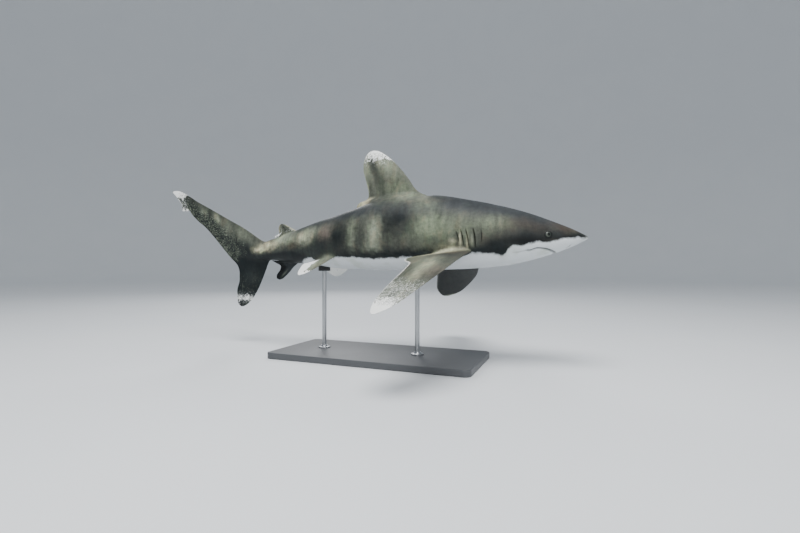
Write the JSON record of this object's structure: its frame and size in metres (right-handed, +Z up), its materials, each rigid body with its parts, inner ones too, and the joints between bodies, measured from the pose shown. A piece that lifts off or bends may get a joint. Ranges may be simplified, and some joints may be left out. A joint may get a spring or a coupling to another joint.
{
  "type": "oceanic whitetip shark model",
  "caption": "Still life-size oceanic whitetip shark in a level, gently bent swimming pose, long rounded fins spread, held over a flat base by upright rods.",
  "frame": {"origin": "centre of the display stand's underside, on the floor", "axes": "+X towards the snout, +Y towards the shark's left side, +Z up"},
  "size_m": [2.2608, 1.3057, 1.0109],
  "materials": {
    "skin": "grey-bronze above, white below, with white fin tips; smooth and slightly wet-looking",
    "eye": "glossy, dark pupil in a pale grey iris",
    "base": "satin dark grey paint",
    "steel": "brushed",
    "pad": "matt"
  },
  "bodies": {
    "root": {"head": "skin", "lower_jaw": "skin", "trunk": "skin", "tail": "skin", "first_dorsal_fin": "skin", "second_dorsal_fin": "skin", "anal_fin": "skin", "pectoral_fin_left": "skin", "pectoral_fin_right": "skin", "pelvic_fin_left": "skin", "pelvic_fin_right": "skin", "caudal_fin_upper": "skin", "caudal_fin_lower": "skin", "eye_left": "eye", "eye_right": "eye", "stand_base": "base", "stand_rod_front": "steel", "stand_rod_rear": "steel", "stand_collar_front": "steel", "stand_collar_rear": "steel", "stand_pad_front": "pad", "stand_pad_rear": "pad"}
  },
  "joints": []
}
